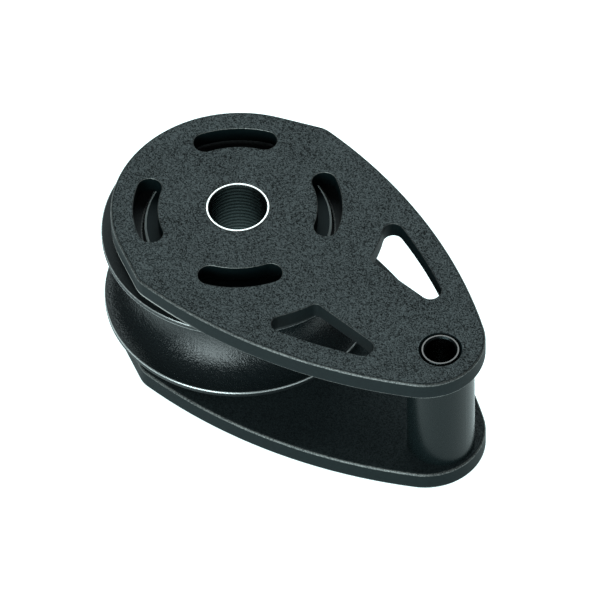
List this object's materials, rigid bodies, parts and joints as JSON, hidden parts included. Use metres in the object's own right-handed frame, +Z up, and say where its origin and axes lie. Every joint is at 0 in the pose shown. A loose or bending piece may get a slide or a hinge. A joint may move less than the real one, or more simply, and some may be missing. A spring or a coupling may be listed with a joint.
{
  "type": "sheave footblock",
  "caption": "Low deck footblock: one grooved sheave on a sleeve and ball thrust bearing between two teardrop side plates, held by a bolt through the axle and one through the tail post.",
  "frame": {"origin": "centre of the axle bolt bore at the deck face, where the bore meets the deck", "axes": "+X from the axle towards the tail post along the block, +Z up from the deck along the axle, +Y to the left looking along +X"},
  "size_m": [0.0936, 0.057, 0.0336],
  "materials": {
    "side_plate_anodised": "hard anodised, fine matte grain, very dark grey",
    "post_anodised": "hard anodised, satin, near black",
    "sheave_anodised": "hard anodised over turned surfaces, satin gloss, near black",
    "race_anodised": "hard anodised, turned, near black",
    "rivet_black": "black oxide, satin",
    "bush_steel": "turned stainless steel",
    "sleeve_composite": "self-lubricating fibre composite",
    "cage_plastic": "moulded acetal, black",
    "ball_plastic": "ground acetal, off white"
  },
  "bodies": {
    "housing": {"base_plate": "side_plate_anodised", "top_plate": "side_plate_anodised", "tail_post": "post_anodised", "tail_rivet": "rivet_black", "axle_bush": "bush_steel", "inner_race": "race_anodised", "upper_thrust_ring": "race_anodised", "lower_thrust_ring": "race_anodised"},
    "sheave_wheel": {"sheave": "sheave_anodised", "bearing_sleeve": "sleeve_composite"},
    "upper_ball_set": {"upper_ball_cage": "cage_plastic", "upper_ball_01": "ball_plastic", "upper_ball_02": "ball_plastic", "upper_ball_03": "ball_plastic", "upper_ball_04": "ball_plastic", "upper_ball_05": "ball_plastic", "upper_ball_06": "ball_plastic", "upper_ball_07": "ball_plastic", "upper_ball_08": "ball_plastic", "upper_ball_09": "ball_plastic", "upper_ball_10": "ball_plastic", "upper_ball_11": "ball_plastic", "upper_ball_12": "ball_plastic", "upper_ball_13": "ball_plastic", "upper_ball_14": "ball_plastic", "upper_ball_15": "ball_plastic", "upper_ball_16": "ball_plastic", "upper_ball_17": "ball_plastic", "upper_ball_18": "ball_plastic"},
    "lower_ball_set": {"lower_ball_cage": "cage_plastic", "lower_ball_01": "ball_plastic", "lower_ball_02": "ball_plastic", "lower_ball_03": "ball_plastic", "lower_ball_04": "ball_plastic", "lower_ball_05": "ball_plastic", "lower_ball_06": "ball_plastic", "lower_ball_07": "ball_plastic", "lower_ball_08": "ball_plastic", "lower_ball_09": "ball_plastic", "lower_ball_10": "ball_plastic", "lower_ball_11": "ball_plastic", "lower_ball_12": "ball_plastic", "lower_ball_13": "ball_plastic", "lower_ball_14": "ball_plastic", "lower_ball_15": "ball_plastic", "lower_ball_16": "ball_plastic", "lower_ball_17": "ball_plastic", "lower_ball_18": "ball_plastic"}
  },
  "joints": [
    {"name": "sheave_spin", "type": "hinge", "parent": "housing", "child": "sheave_wheel", "pos_m": [0, 0, 0.0168], "axis": [0, 0, 1], "continuous": true},
    {"name": "upper_ball_set_spin", "type": "hinge", "parent": "housing", "child": "upper_ball_set", "pos_m": [0, 0, 0.026], "axis": [0, 0, 1], "continuous": true},
    {"name": "lower_ball_set_spin", "type": "hinge", "parent": "housing", "child": "lower_ball_set", "pos_m": [0, 0, 0.0076], "axis": [0, 0, 1], "continuous": true}
  ],
  "couplings": [
    {"joint": "upper_ball_set_spin", "follows": "sheave_spin", "ratio": 0.5},
    {"joint": "lower_ball_set_spin", "follows": "sheave_spin", "ratio": 0.5}
  ]
}
